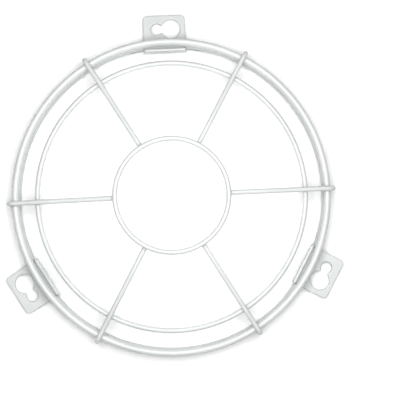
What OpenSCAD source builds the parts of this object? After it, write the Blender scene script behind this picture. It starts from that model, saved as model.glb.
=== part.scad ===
// Round wire guard that covers a fan opening: wire rings and spokes, held by three keyhole tabs.
// The origin is on the guard's axis in the wall plane, and +Z points away from the wall.
// Every wire and tab is its own solid. They meet as they are welded: tangent, seat_gap apart.

/* [Outer rings] */
// Diameter over the two outer rings
outer_d = 200; // [180:1:300]
// Wire diameter of the two outer rings
frame_wire = 4.2; // [3.2:0.1:5]
// Distance between the two outer rings, centre to centre
ring_pitch = 9.5; // [7:0.5:20]

/* [Grille] */
// Wire diameter of the spokes, the middle ring and the centre ring
grille_wire = 3.1; // [2:0.1:3.6]
// Diameter of the centre ring, to the middle of its wire
centre_d = 70; // [40:1:100]
// Clear width between the middle ring and the front outer ring
middle_gap = 10.5; // [6:0.5:20]
// Rise of the spokes from the front outer ring to the centre ring
dish_rise = 6; // [0:0.5:20]
// Length by which a spoke runs past the middle of the centre ring's wire
spoke_lap = 0.6; // [0:0.1:1.2]

/* [Mounting tabs] */
// Width of a tab
tab_w = 27; // [25:0.5:40]
// Thickness of the tab's sheet
tab_t = 1.6; // [1:0.1:2.5]
// Radius of the tab's outer corners
tab_corner_r = 2.5; // [0.5:0.5:4]
// Inside radius of the tab's fold
fold_r = 1.2; // [0.5:0.1:1.5]
// Height of the tab's lip above the wall plane
lip_h = 7.5; // [5:0.5:12]
// Radius of the lip's free corners
lip_corner_r = 1; // [0.5:0.1:2]

/* [Keyholes] */
// Diameter of the large hole, which the screw's head passes through
entry_d = 12.2; // [10:0.1:13]
// Diameter of the small hole, in which the screw sits
seat_d = 7.5; // [7.4:0.1:8.4]
// Width of the neck between the two holes
neck_w = 5.2; // [3.5:0.1:5.2]
// Distance between the centres of the two holes
key_pitch = 9.2; // [8.8:0.1:10.5]
// Distance from the outer rings to the large hole
key_clear = 2.7; // [2:0.1:8]
// Metal between the large hole and the tab's outer edge
key_margin = 2.7; // [2:0.1:8]
// Metal between the large hole and the tab's side
key_side = 3.1; // [2:0.1:4.5]

/* [Hidden] */
$fn = 96;

white = [0.93, 0.94, 0.935];
spoke_count = 6;
tab_count = 3;
first_tab_angle = 90;
// Gap left where two pieces are welded together
seat_gap = 0.05;
// Cutting solids reach this far past the faces that they cut
overrun = 1;

// Outer rings: the rear one lies on the tabs, and the front one stands ring_pitch before it
outer_r = (outer_d - frame_wire) / 2;
rear_z = tab_t + seat_gap + frame_wire / 2;
front_z = rear_z + ring_pitch;

// The spokes lie against the front outer ring and wrap round it, so their bend is centred on it
wrap_r = (frame_wire + grille_wire) / 2 + seat_gap;
leg_end_z = tab_t + seat_gap;
// Bending stretches the wire, so it is thinner by this much all round in the bend
bend_thinning = 0.01;
// Angle by which the bend runs on inside the straight wire at each of its ends
bend_lap = 2;

// Grille rings: the middle one is welded behind the spokes, the centre one before them
centre_r = centre_d / 2;
middle_r = outer_r - frame_wire / 2 - middle_gap - grille_wire / 2;
grille_seat = grille_wire + seat_gap;
dish_angle = atan(dish_rise / (outer_r - centre_r));

// Height at radius r of a line parallel to the spokes, offset forward from the front outer ring
function dish_z(r, offset) =
    front_z + offset / cos(dish_angle) + (outer_r - r) * tan(dish_angle);

// Tabs: the lip's ends touch the inside of the rear outer ring
lip_out_r = sqrt(pow(outer_d / 2 - frame_wire, 2) - pow(tab_w / 2, 2)) - seat_gap;
lip_in_r = lip_out_r - tab_t;
key_r = outer_d / 2 + key_clear + entry_d / 2;
tab_out_r = key_r + entry_d / 2 + key_margin;
entry_y = key_side + entry_d / 2 - tab_w / 2;
seat_y = entry_y + key_pitch;

module wire_ring(r, z, wire) {
    color(white)
        translate([0, 0, z])
            rotate_extrude()
                translate([r, 0])
                    circle(d = wire);
}

module centre_ring() {
    wire_ring(centre_r, dish_z(centre_r, wrap_r + grille_seat), grille_wire);
}

module middle_ring() {
    wire_ring(middle_r, dish_z(middle_r, wrap_r - grille_seat), grille_wire);
}

module front_outer_ring() {
    wire_ring(outer_r, front_z, frame_wire);
}

module rear_outer_ring() {
    wire_ring(outer_r, rear_z, frame_wire);
}

// One bent wire: a straight run up the dish, a bend round the front outer ring, and a leg
// down the outside of both outer rings. It is drawn about the bend's centre
module spoke(index) {
    run = (outer_r - centre_r + spoke_lap) / cos(dish_angle) + wrap_r * tan(dish_angle);
    color(white)
        rotate([0, 0, index * 360 / spoke_count])
            translate([outer_r, 0, front_z])
                rotate([90, 0, 0]) {
                    rotate([0, 0, -bend_lap])
                        rotate_extrude(angle = 90 - dish_angle + 2 * bend_lap)
                            translate([wrap_r, 0])
                                circle(d = grille_wire - 2 * bend_thinning);
                    translate([wrap_r, 0, 0])
                        rotate([90, 0, 0])
                            cylinder(d = grille_wire, h = front_z - leg_end_z);
                    rotate([0, 0, 90 - dish_angle])
                        translate([wrap_r, 0, 0])
                            rotate([-90, 0, 0])
                                cylinder(d = grille_wire, h = run);
                }
}

module spoke_1() { spoke(0); }
module spoke_2() { spoke(1); }
module spoke_3() { spoke(2); }
module spoke_4() { spoke(3); }
module spoke_5() { spoke(4); }
module spoke_6() { spoke(5); }

// A strip from the origin along +X, with both corners of its far end rounded
module round_ended_strip(length, width, r) {
    translate([0, -width / 2])
        square([length - r, width]);
    translate([0, r - width / 2])
        square([length, width - 2 * r]);
    for (side = [-1, 1])
        translate([length - r, side * (width / 2 - r)])
            circle(r = r);
}

// The folded sheet seen from its side: X runs outward and Y away from the wall
module tab_section() {
    fold_x = lip_out_r + fold_r;
    fold_y = tab_t + fold_r;
    translate([fold_x, 0])
        square([tab_out_r - fold_x, tab_t]);
    translate([lip_in_r, fold_y])
        square([tab_t, lip_h - fold_y]);
    intersection() {
        translate([fold_x, fold_y])
            difference() {
                circle(r = fold_r + tab_t);
                circle(r = fold_r);
            }
        translate([lip_in_r, 0])
            square(fold_r + tab_t);
    }
}

// Two round holes joined by a neck that is narrower than either
module keyhole() {
    translate([key_r, entry_y])
        circle(d = entry_d);
    translate([key_r, seat_y])
        circle(d = seat_d);
    translate([key_r - neck_w / 2, entry_y])
        square([neck_w, key_pitch]);
}

module tab(index) {
    color(white)
        rotate([0, 0, first_tab_angle + index * 360 / tab_count])
            difference() {
                intersection() {
                    translate([0, tab_w / 2, 0])
                        rotate([90, 0, 0])
                            linear_extrude(tab_w)
                                tab_section();
                    linear_extrude(lip_h)
                        round_ended_strip(tab_out_r, tab_w, tab_corner_r);
                    rotate([0, -90, 0])
                        translate([0, 0, -tab_out_r])
                            linear_extrude(tab_out_r)
                                round_ended_strip(lip_h, tab_w, lip_corner_r);
                }
                translate([0, 0, -overrun])
                    linear_extrude(tab_t + 2 * overrun)
                        keyhole();
            }
}

module tab_1() { tab(0); }
module tab_2() { tab(1); }
module tab_3() { tab(2); }

centre_ring();
middle_ring();
front_outer_ring();
rear_outer_ring();
spoke_1();
spoke_2();
spoke_3();
spoke_4();
spoke_5();
spoke_6();
tab_1();
tab_2();
tab_3();
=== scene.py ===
"""Wire fan guard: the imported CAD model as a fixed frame, with powder coat and welded joints."""
import math

import bpy
import numpy as np
from mathutils import Matrix, Vector


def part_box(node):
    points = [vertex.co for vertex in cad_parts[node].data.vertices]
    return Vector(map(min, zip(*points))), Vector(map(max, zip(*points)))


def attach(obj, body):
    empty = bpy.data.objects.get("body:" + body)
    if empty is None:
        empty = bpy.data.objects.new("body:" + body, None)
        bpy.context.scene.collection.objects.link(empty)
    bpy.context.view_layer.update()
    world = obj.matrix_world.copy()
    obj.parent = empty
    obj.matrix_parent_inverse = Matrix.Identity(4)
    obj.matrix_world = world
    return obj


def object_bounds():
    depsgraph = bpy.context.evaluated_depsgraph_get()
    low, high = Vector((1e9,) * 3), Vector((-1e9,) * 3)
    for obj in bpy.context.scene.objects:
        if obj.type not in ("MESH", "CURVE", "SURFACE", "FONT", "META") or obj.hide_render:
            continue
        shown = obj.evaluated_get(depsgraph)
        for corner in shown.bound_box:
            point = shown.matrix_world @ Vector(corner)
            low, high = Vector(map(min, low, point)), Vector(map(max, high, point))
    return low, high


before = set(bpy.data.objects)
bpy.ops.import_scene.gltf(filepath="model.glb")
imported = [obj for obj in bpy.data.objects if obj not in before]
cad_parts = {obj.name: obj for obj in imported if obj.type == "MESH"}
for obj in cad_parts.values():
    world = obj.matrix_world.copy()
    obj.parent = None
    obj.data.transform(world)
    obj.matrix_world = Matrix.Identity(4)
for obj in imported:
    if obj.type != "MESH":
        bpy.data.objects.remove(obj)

CAD_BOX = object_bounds()
MM = 0.001

# The photograph's viewpoint. The guard is turned a little in the picture. Places of the camera and
# the lights are in millimetres: along the picture's right and up from the guard's axis, then the
# height above the wall plane
TURN = math.radians(2.85)
PICTURE_RIGHT = Vector((math.cos(TURN), -math.sin(TURN), 0))
PICTURE_UP = Vector((math.sin(TURN), math.cos(TURN), 0))
CAMERA_PLACE = (4.3, -24.4, 545)
CAMERA_AIM = (17.9, -1.9, 0)
SENSOR = 36
LENS = 76.3
# The nearest and farthest that the camera sees, in metres
CLIP = (0.01, 50)

# A round softbox by the camera lights the guard from straight before it, so its wires are bright
# along the middle and dark along their sides. Its strength is the light that it gives the floor
SOFTBOX_PLACE = (10, 10, 360)
SOFTBOX_WIDTH = 270
SOFTBOX_STRENGTH = 0.69
# A broad soft light from overhead, with its spread in degrees, and a dim even sky
OVERHEAD_PLACE = (60, -200, 3000)
OVERHEAD_SPREAD = 145
OVERHEAD_STRENGTH = 1.93
SKY = 0.1
# What is seen past the floor's edge is as pale as the floor there
BACKDROP = 0.69
# Below 1, the picture has more contrast near white, as the photograph has
GAMMA = 0.55

# Half the floor's width, in metres, and how far it lies below the wall plane, for a soft shadow
FLOOR_HALF = 8
FLOOR_DROP = 1.8 * MM

X, Y, Z = np.eye(3)
SPOKES = sum(name.startswith("spoke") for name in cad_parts)
TABS = sum(name.startswith("tab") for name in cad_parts)
FIRST_TAB = math.radians(90)

# Radius of the fillet that weld and coat leave between two wires, and between wire and plate
WIRE_BALL = 0.5 * MM
PLATE_BALL = 0.45 * MM
# A fillet's edges run this far inside the pieces that it joins, and its third side lies this far
# from the line where they meet
SINK = 0.06 * MM
CREVICE = 0.35 * MM
# Divisions of a fillet's arc, and of its path: a half turn, the bend, and the bead under the ring
ARC_STEPS = 6
FAN_STEPS = 14
WRAP_STEPS = 12
BEAD_STEPS = 24
# Half the angle, about the guard's axis, over which the ring is welded to a tab's plate
BEAD_HALF_ANGLE = math.radians(6.6)
# The bead between a tab's lip and the rear ring: its radius in the middle and at its ends, its
# share of the tab's width, and its divisions
LIP_BALL = 1.7 * MM
LIP_END_BALL = 0.8 * MM
LIP_BEAD_SHARE = 0.93
LIP_STEPS = 32
# Step in metres at which slopes are measured and a ball's search ends, and the most tries it takes
TINY = 1e-8
MOST_TRIES = 40

# Rounding of the tabs' edges in their shape, and the wider one that their coat adds in its shading
TAB_EDGE_ROUND = 0.2 * MM
TAB_COAT_ROUND = 0.9 * MM
# Rounding of the wires' cut ends in their coat's shading. Their shape gets 0.005 mm of it at most,
# because their shortest edges hold the bevel back
WIRE_END_ROUND = 0.4 * MM
ROUND_SEGMENTS = 4
# Faces that meet at less than the first angle are one flat face, and at more than the second, an edge
FLAT_ANGLE = math.radians(0.2)
EDGE_ANGLE = math.radians(50)
# Points closer than this are one point
SEAM = 0.001 * MM
# How much larger faces outweigh smaller ones in the shading: at 50 they don't
FLAT_WEIGHT = 80

# The powder coat's tone where its film is thin, usual and thick, each after the noise value there
TONES = [(0.30, (0.681, 0.691, 0.690, 1)),
         (0.52, (0.706, 0.716, 0.715, 1)),
         (0.74, (0.721, 0.731, 0.730, 1))]
ROUGHNESS = (0.18, 0.30)
# Cells per metre and octaves of the film's variation, the orange peel and the grain
FILM = (38, 3)
PEEL = (820, 1.5)
GRAIN = (3200, 2)
PEEL_HEIGHT = 0.035 * MM
GRAIN_HEIGHT = 0.004 * MM
# Rays that the shading casts at each point to find the edges near it
ROUND_SAMPLES = 8

# The floor's faint mottle, in the same terms
FLOOR_TONES = [(0.3, (0.95, 0.95, 0.95, 1)), (0.7, (0.97, 0.97, 0.97, 1))]
MOTTLE = (6, 2)
FLOOR_ROUGHNESS = 0.9
FLOOR_SPECULAR = 0.1


# ---------------------------------------------------------------- places, all from the CAD nodes

class Ring:
    """A wire ring about the guard's axis, measured from its CAD node."""

    def __init__(self, node):
        low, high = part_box(node)
        self.wire = (high.z - low.z) / 2
        self.radius = (high.x - low.x) / 2 - self.wire
        self.z = (high.z + low.z) / 2

    def gap(self, point):
        """Distance from a point to the wire's surface."""
        off_ring = math.hypot(point[0], point[1]) - self.radius
        return math.hypot(off_ring, point[2] - self.z) - self.wire


def rod_gap(point, start, end, radius):
    """Distance from a point to a straight wire with flat ends."""
    length = math.dist(start, end)
    axis = (end - start) / length
    along = (point - start) @ axis
    radial = math.dist(point, start + axis * along) - radius
    beyond = max(along - length, -along)
    if radial > 0 and beyond > 0:
        return math.hypot(radial, beyond)
    return max(radial, beyond)


class Spoke:
    """The first spoke, in the XZ plane: a straight run, a bend round the front ring, and a leg."""

    def __init__(self, node, front, centre):
        low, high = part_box(node)
        self.wire = (high.y - low.y) / 2
        self.hub = np.array((front.radius, 0, front.z))
        self.wrap = high.x - self.wire - front.radius
        self.seat = self.wrap - front.wire - self.wire
        inward, rise = front.radius - centre.radius, centre.z - front.z
        off_axis = self.wrap + self.wire + centre.wire + self.seat
        self.dish = math.atan2(rise, inward) - math.asin(off_axis / math.hypot(inward, rise))
        self.out = X * math.sin(self.dish) + Z * math.cos(self.dish)
        self.up_dish = Z * math.sin(self.dish) - X * math.cos(self.dish)
        self.run_start = self.hub + self.out * self.wrap
        end_x = low.x + self.wire * math.sin(self.dish)
        length = (self.run_start[0] - end_x) / math.cos(self.dish)
        self.run_end = self.run_start + self.up_dish * length
        self.leg_top = self.hub + X * self.wrap
        self.leg_end = np.array((self.leg_top[0], 0, low.z))

    def gap(self, point):
        """Distance from a point to the spoke's surface."""
        nearest = min(rod_gap(point, self.run_start, self.run_end, self.wire),
                      rod_gap(point, self.leg_top, self.leg_end, self.wire))
        x, z = point[0] - self.hub[0], point[2] - self.hub[2]
        if 0 <= math.atan2(z, x) <= math.pi / 2 - self.dish:
            bend = math.hypot(math.hypot(x, z) - self.wrap, point[1]) - self.wire
            nearest = min(nearest, bend)
        return nearest


# ---------------------------------------------------------------- weld fillets

def slope(gap, point):
    """Direction in which a distance grows fastest."""
    steps = TINY * np.eye(3)
    growth = np.array([gap(point + step) - gap(point - step) for step in steps])
    return growth / math.hypot(*growth)


def resting_ball(gaps, station, ball):
    """Centre of the ball that touches both surfaces, in the station's own plane."""
    origin, normal, side = station
    place = np.array((3 * ball, 0.0))

    def excess(out, rise):
        point = origin + side * out + normal * rise
        return np.array([gap(point) - ball for gap in gaps])

    for _ in range(MOST_TRIES):
        here = excess(*place)
        aside = (excess(place[0] + TINY, place[1]) - here) / TINY
        above = (excess(place[0], place[1] + TINY) - here) / TINY
        step = np.linalg.lstsq(np.column_stack((aside, above)), here, rcond=None)[0]
        place -= step * min(1, ball / max(abs(step).max(), TINY))
        if abs(step).max() < TINY:
            break
    return origin + side * place[0] + normal * place[1]


def fillet_profile(gaps, station, ball):
    """Closed section of a fillet: the hollow arc between both surfaces, then a point in the crevice."""
    centre = resting_ball(gaps, station, ball)
    first, last = [-slope(gap, centre) for gap in gaps]
    angle = math.acos(first @ last)
    points = []
    for i in range(ARC_STEPS + 1):
        share = i / ARC_STEPS
        away = first * math.sin((1 - share) * angle) + last * math.sin(share * angle)
        reach = ball + SINK if i in (0, ARC_STEPS) else ball
        points.append(centre + away / math.sin(angle) * reach)
    origin, _, side = station
    points.append(origin + side * CREVICE)
    return points


def fan(origin, normal, start, through, first, last, steps):
    """Stations that turn about the normal, from one share of a half turn to another."""
    turns = [math.pi * (first + (last - first) * i / steps) for i in range(steps)]
    return [(origin, normal, start * math.cos(turn) + through * math.sin(turn)) for turn in turns]


def crossing(origin, normal, start):
    """Stations all round the point where two wires cross."""
    return fan(origin, normal, start, np.cross(normal, start), 0, 2, 4 * FAN_STEPS)


def wrap_stations(spoke, front):
    """Stations down one side of the bend that holds the front ring, and back up the other."""
    reach = front.wire + spoke.seat / 2
    full = math.pi / 2 - spoke.dish

    def place(turn):
        normal = X * math.cos(turn) + Z * math.sin(turn)
        return spoke.hub + normal * reach, normal

    turns = [full * i / WRAP_STEPS for i in range(WRAP_STEPS)]
    stations = [(*place(turn), Y) for turn in turns]
    stations += fan(*place(full), Y, spoke.up_dish, 0, 1, FAN_STEPS)
    stations += [(*place(full - turn), -Y) for turn in turns]
    stations += fan(*place(0), -Y, -Z, 0, 1, FAN_STEPS)
    return stations


def bead_stations(rear, plate_top, seat):
    """Stations along both sides of the line where the rear ring lies on a tab."""
    def place(turn):
        outward = X * math.cos(turn) + Y * math.sin(turn)
        return outward * rear.radius + Z * (plate_top + seat / 2), outward

    turns = [BEAD_HALF_ANGLE * (2 * i / BEAD_STEPS - 1) for i in range(BEAD_STEPS)]
    stations = []
    for way in (1, -1):
        for turn in turns:
            origin, outward = place(way * turn)
            stations.append((origin, Z, way * outward))
        origin, outward = place(way * BEAD_HALF_ANGLE)
        stations += fan(origin, Z, way * outward, way * np.cross(Z, outward), 0, 1, FAN_STEPS)
    return stations


def lip_stations(rear, lip_face, half_width):
    """Stations, each with its ball, over the gap between a tab's lip and the rear ring."""
    stations, balls = [], []
    for i in range(LIP_STEPS + 1):
        across = half_width * (2 * i / LIP_STEPS - 1)
        ring_face = math.sqrt((rear.radius - rear.wire) ** 2 - across ** 2)
        origin = X * (lip_face + ring_face) / 2 + Y * across + Z * rear.z
        stations.append((origin, X, Z))
        share = 1 - (across / half_width) ** 2
        balls.append(LIP_END_BALL + (LIP_BALL - LIP_END_BALL) * share)
    return stations, balls


def fillet_mesh(gaps, stations, balls, closed=True):
    """Points and faces of one fillet, as a tube that closes on itself or has flat ends."""
    loops = [fillet_profile(gaps, station, ball) for station, ball in zip(stations, balls)]
    size, count = len(loops[0]), len(loops)
    points = [p for loop in loops for p in loop]
    faces = []
    for i in range(count if closed else count - 1):
        here, there = i * size, (i + 1) % count * size
        for j in range(size):
            k = (j + 1) % size
            faces.append((here + j, there + j, there + k, here + k))
    if not closed:
        faces.append(tuple(range(size)))
        faces.append(tuple(range(count * size - 1, (count - 1) * size - 1, -1)))
    return points, faces


def weld_piece(name, fillets, turn):
    """One object that holds some fillets, turned about the guard's axis."""
    points, faces = [], []
    for more_points, more_faces in fillets:
        start = len(points)
        points += more_points
        faces += [tuple(start + i for i in face) for face in more_faces]
    mesh = bpy.data.meshes.new(name)
    mesh.from_pydata([tuple(p) for p in points], [], faces)
    mesh.transform(Matrix.Rotation(turn, 4, "Z"))
    mesh.update()
    for polygon in mesh.polygons:
        polygon.use_smooth = len(polygon.vertices) == 4
    piece = bpy.data.objects.new(name, mesh)
    bpy.context.scene.collection.objects.link(piece)
    return piece


def spoke_fillets(spoke, centre, middle, front, rear):
    """Fillets where the first spoke is welded to each of the four rings."""
    def on_ring(ring, way):
        return X * ring.radius + Z * ring.z + way * (ring.wire + spoke.seat / 2)

    joints = [
        (centre, crossing(on_ring(centre, -spoke.out), -spoke.out, Y)),
        (middle, crossing(on_ring(middle, spoke.out), spoke.out, Y)),
        (front, wrap_stations(spoke, front)),
        (rear, crossing(on_ring(rear, X), X, Y)),
    ]
    return [fillet_mesh((ring.gap, spoke.gap), stations, [WIRE_BALL] * len(stations))
            for ring, stations in joints]


def tab_fillets(rear, seat):
    """The bead where the rear ring lies on a tab, and the one between the tab's lip and the ring."""
    low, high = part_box("tab_1")
    half_width = (high.x - low.x) / 2
    plate_top = rear.z - rear.wire - seat
    lip_face = math.sqrt((rear.radius - rear.wire) ** 2 - half_width ** 2) - seat

    def plate_gap(point):
        return point[2] - plate_top

    def lip_gap(point):
        return point[0] - lip_face

    under_ring = bead_stations(rear, plate_top, seat)
    behind_lip, lip_balls = lip_stations(rear, lip_face, half_width * LIP_BEAD_SHARE)
    return [fillet_mesh((plate_gap, rear.gap), under_ring, [PLATE_BALL] * len(under_ring)),
            fillet_mesh((lip_gap, rear.gap), behind_lip, lip_balls, closed=False)]


def build_welds():
    """Fillets at every place where wires, or wire and tab, are welded together."""
    centre, middle = Ring("centre_ring"), Ring("middle_ring")
    front, rear = Ring("front_outer_ring"), Ring("rear_outer_ring")
    spoke = Spoke("spoke_1", front, centre)
    on_spoke = spoke_fillets(spoke, centre, middle, front, rear)
    on_tab = tab_fillets(rear, spoke.seat)
    welds = [weld_piece(f"spoke_welds_{i + 1}", on_spoke, math.tau * i / SPOKES)
             for i in range(SPOKES)]
    welds += [weld_piece(f"tab_welds_{i + 1}", on_tab, FIRST_TAB + math.tau * i / TABS)
              for i in range(TABS)]
    return welds


# ---------------------------------------------------------------- materials

def noise(nodes, links, coordinates, grade):
    """A noise texture in the guard's own coordinates; a grade is cells per metre and octaves."""
    scale, detail = grade
    node = nodes.new("ShaderNodeTexNoise")
    node.inputs["Scale"].default_value = scale
    node.inputs["Detail"].default_value = detail
    links.new(coordinates, node.inputs["Vector"])
    return node.outputs["Fac"]


def ramp(nodes, links, source, stops):
    """A colour ramp from (place, colour) stops."""
    node = nodes.new("ShaderNodeValToRGB")
    node.color_ramp.elements[0].position, node.color_ramp.elements[0].color = stops[0]
    node.color_ramp.elements[1].position, node.color_ramp.elements[1].color = stops[-1]
    for place, colour in stops[1:-1]:
        node.color_ramp.elements.new(place).color = colour
    links.new(source, node.inputs["Fac"])
    return node.outputs["Color"]


def bump(nodes, links, height, distance, under):
    """A bump of that height in metres, over the normal beneath it."""
    node = nodes.new("ShaderNodeBump")
    node.inputs["Distance"].default_value = distance
    links.new(height, node.inputs["Height"])
    links.new(under, node.inputs["Normal"])
    return node.outputs["Normal"]


def rounded_edges(nodes, radius):
    """The normal of a surface on which the coat rounds sharp edges to that radius."""
    node = nodes.new("ShaderNodeBevel")
    node.samples = ROUND_SAMPLES
    node.inputs["Radius"].default_value = radius
    return node.outputs["Normal"]


def powder_coat(name, edge_radius):
    """Satin white powder coat: orange peel, film that varies slightly in tone and in gloss."""
    material = bpy.data.materials.new(name)
    material.use_nodes = True
    nodes, links = material.node_tree.nodes, material.node_tree.links
    shader = nodes["Principled BSDF"]
    place = nodes.new("ShaderNodeTexCoord").outputs["Object"]

    film = noise(nodes, links, place, FILM)
    links.new(ramp(nodes, links, film, TONES), shader.inputs["Base Color"])

    gloss = nodes.new("ShaderNodeMapRange")
    gloss.inputs["To Min"].default_value, gloss.inputs["To Max"].default_value = ROUGHNESS
    links.new(film, gloss.inputs["Value"])
    links.new(gloss.outputs["Result"], shader.inputs["Roughness"])

    normal = rounded_edges(nodes, edge_radius)
    normal = bump(nodes, links, noise(nodes, links, place, PEEL), PEEL_HEIGHT, normal)
    normal = bump(nodes, links, noise(nodes, links, place, GRAIN), GRAIN_HEIGHT, normal)
    links.new(normal, shader.inputs["Normal"])
    return material


def floor_material():
    """Pale matt floor with a faint mottle."""
    material = bpy.data.materials.new("pale_floor")
    material.use_nodes = True
    nodes, links = material.node_tree.nodes, material.node_tree.links
    shader = nodes["Principled BSDF"]
    place = nodes.new("ShaderNodeTexCoord").outputs["Object"]
    mottle = noise(nodes, links, place, MOTTLE)
    links.new(ramp(nodes, links, mottle, FLOOR_TONES), shader.inputs["Base Color"])
    shader.inputs["Roughness"].default_value = FLOOR_ROUGHNESS
    shader.inputs["Specular IOR Level"].default_value = FLOOR_SPECULAR
    return material


def coat_node(node, material):
    """Gives a CAD node the coat in place of its plain colour."""
    for slot in node.material_slots:
        slot.material = material


# ---------------------------------------------------------------- edges

def soften_edges(node, width, on_sheet):
    """Rounds the sharp edges that coating has softened, by modifiers on the CAD node."""
    join = node.modifiers.new("join_seams", "WELD")
    join.merge_threshold = SEAM
    if on_sheet:
        # Left in triangles, a sheet's flat faces would hold the rounding back
        flats = node.modifiers.new("whole_flats", "DECIMATE")
        flats.decimate_type = "DISSOLVE"
        flats.angle_limit = FLAT_ANGLE
    bevel = node.modifiers.new("soft_edges", "BEVEL")
    bevel.width = width
    bevel.segments = ROUND_SEGMENTS
    bevel.limit_method = "ANGLE"
    bevel.angle_limit = EDGE_ANGLE
    bevel.use_clamp_overlap = True
    bevel.miter_outer = "MITER_ARC"
    shade = node.modifiers.new("shading", "WEIGHTED_NORMAL")
    shade.keep_sharp = False
    shade.weight = FLAT_WEIGHT


# ---------------------------------------------------------------- stage

def picture_place(right, up, height):
    """A point given along the picture's right and up and above the wall plane, in millimetres."""
    return (PICTURE_RIGHT * right + PICTURE_UP * up + Vector((0, 0, height))) * MM


def facing(place, target, up):
    """Matrix of an object at a place that looks at the target along its own -Z."""
    back = (place - target).normalized()
    right = up.cross(back).normalized()
    turned = Matrix((right, back.cross(right), back)).transposed().to_4x4()
    turned.translation = place
    return turned


def build_camera():
    """The camera, at the photograph's viewpoint."""
    camera_data = bpy.data.cameras.new("camera")
    camera_data.sensor_width = SENSOR
    camera_data.lens = LENS
    camera_data.clip_start, camera_data.clip_end = CLIP
    camera = bpy.data.objects.new("camera", camera_data)
    bpy.context.scene.collection.objects.link(camera)
    camera.matrix_world = facing(picture_place(*CAMERA_PLACE), picture_place(*CAMERA_AIM), PICTURE_UP)
    bpy.context.scene.camera = camera


def add_lamp(name, light, place):
    """Hangs a light at a place in the picture's terms, turned towards the guard."""
    lamp = bpy.data.objects.new(name, light)
    bpy.context.scene.collection.objects.link(lamp)
    lamp.matrix_world = facing(picture_place(*place), Vector((0, 0, 0)), PICTURE_UP)
    lamp.visible_camera = False


def build_softbox():
    """A round panel near the camera."""
    light = bpy.data.lights.new("softbox", "AREA")
    light.shape = "DISK"
    light.size = SOFTBOX_WIDTH * MM
    # The power at which a white floor under a small panel shines with this strength
    distance = math.hypot(*SOFTBOX_PLACE) * MM
    light.energy = SOFTBOX_STRENGTH * (math.pi * distance) ** 2
    add_lamp("softbox", light, SOFTBOX_PLACE)


def build_overhead():
    """A light so broad and far that it reaches the whole floor evenly."""
    light = bpy.data.lights.new("overhead", "SUN")
    light.angle = math.radians(OVERHEAD_SPREAD)
    light.energy = OVERHEAD_STRENGTH
    add_lamp("overhead", light, OVERHEAD_PLACE)


def build_world():
    """A dim sky as a light, and a pale backdrop where it is seen."""
    world = bpy.data.worlds.new("studio")
    bpy.context.scene.world = world
    world.use_nodes = True
    nodes, links = world.node_tree.nodes, world.node_tree.links
    background = nodes["Background"]
    background.inputs["Color"].default_value = (1, 1, 1, 1)
    strength = nodes.new("ShaderNodeMapRange")
    strength.inputs["To Min"].default_value = SKY
    strength.inputs["To Max"].default_value = BACKDROP
    links.new(nodes.new("ShaderNodeLightPath").outputs["Is Camera Ray"], strength.inputs["Value"])
    links.new(strength.outputs["Result"], background.inputs["Strength"])


def build_floor():
    """A plain floor under the guard, which is only part of the stage."""
    mesh = bpy.data.meshes.new("floor")
    height = CAD_BOX[0].z - FLOOR_DROP
    corners = [(-1, -1), (1, -1), (1, 1), (-1, 1)]
    points = [(x * FLOOR_HALF, y * FLOOR_HALF, height) for x, y in corners]
    mesh.from_pydata(points, [], [(0, 1, 2, 3)])
    mesh.materials.append(floor_material())
    floor = bpy.data.objects.new("floor", mesh)
    bpy.context.scene.collection.objects.link(floor)


# ---------------------------------------------------------------- assembly

wire_coat = powder_coat("wire_coat", WIRE_END_ROUND)
sheet_coat = powder_coat("sheet_coat", TAB_COAT_ROUND)
for name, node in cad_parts.items():
    on_sheet = name.startswith("tab")
    coat_node(node, sheet_coat if on_sheet else wire_coat)
    if on_sheet or name.startswith("spoke"):
        soften_edges(node, TAB_EDGE_ROUND if on_sheet else WIRE_END_ROUND, on_sheet)

for piece in build_welds():
    piece.data.materials.append(wire_coat)
    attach(piece, "root")

build_floor()
build_world()
build_overhead()
build_softbox()
build_camera()
bpy.context.scene.view_settings.view_transform = "Standard"
bpy.context.scene.view_settings.gamma = GAMMA
